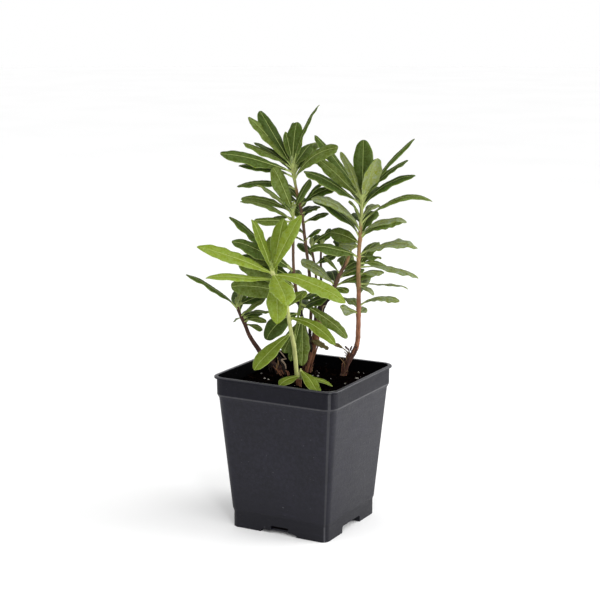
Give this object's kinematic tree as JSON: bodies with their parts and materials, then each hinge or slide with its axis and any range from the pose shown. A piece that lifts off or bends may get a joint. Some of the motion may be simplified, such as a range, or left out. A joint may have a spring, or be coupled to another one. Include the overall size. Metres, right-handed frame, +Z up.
{
  "type": "potted rhododendron shrub",
  "caption": "Young potted rhododendron: slender shoots with whorls of narrow evergreen leaves, in a square tapered black nursery pot filled with potting mix.",
  "frame": {"origin": "under the middle of the whole outline, level with the undersides of the pot's feet", "axes": "+Z up; -Y is the face of the pot that the picture shows wide, on its left; +X is the face that it shows on its right"},
  "size_m": [0.1746, 0.1652, 0.3468],
  "materials": {
    "pot": "moulded black plastic, satin, finely scuffed",
    "soil": "loose moist bark and peat mix with a few white perlite grains",
    "bark": "flaky reddish brown bark",
    "green_stem": "smooth cream-green young stem",
    "leaf": "leathery dark green with a pale rib, paler underneath",
    "young_leaf": "soft light green with a pale rib"
  },
  "bodies": {
    "root": {"pot": "pot", "soil": "soil", "stem_right": "bark", "stem_tall": "bark", "stem_left_centre": "bark", "stem_left": "bark", "stem_centre": "bark", "bough_centre": "bark", "stem_thin_left": "bark", "stem_thin_right": "bark", "stem_front": "green_stem", "leaves_right_low": "leaf", "leaves_right_middle": "leaf", "leaves_right_top": "leaf", "leaves_tall_low": "leaf", "leaves_tall_middle": "leaf", "leaves_tall_top": "leaf", "leaves_left_centre_low": "leaf", "leaves_left_centre_top": "leaf", "leaves_left": "leaf", "leaves_centre": "leaf", "leaves_thin_left": "leaf", "leaves_thin_right": "leaf", "leaves_front_middle": "young_leaf", "leaves_front_top": "young_leaf", "leaves_front_foot": "young_leaf"}
  },
  "joints": []
}
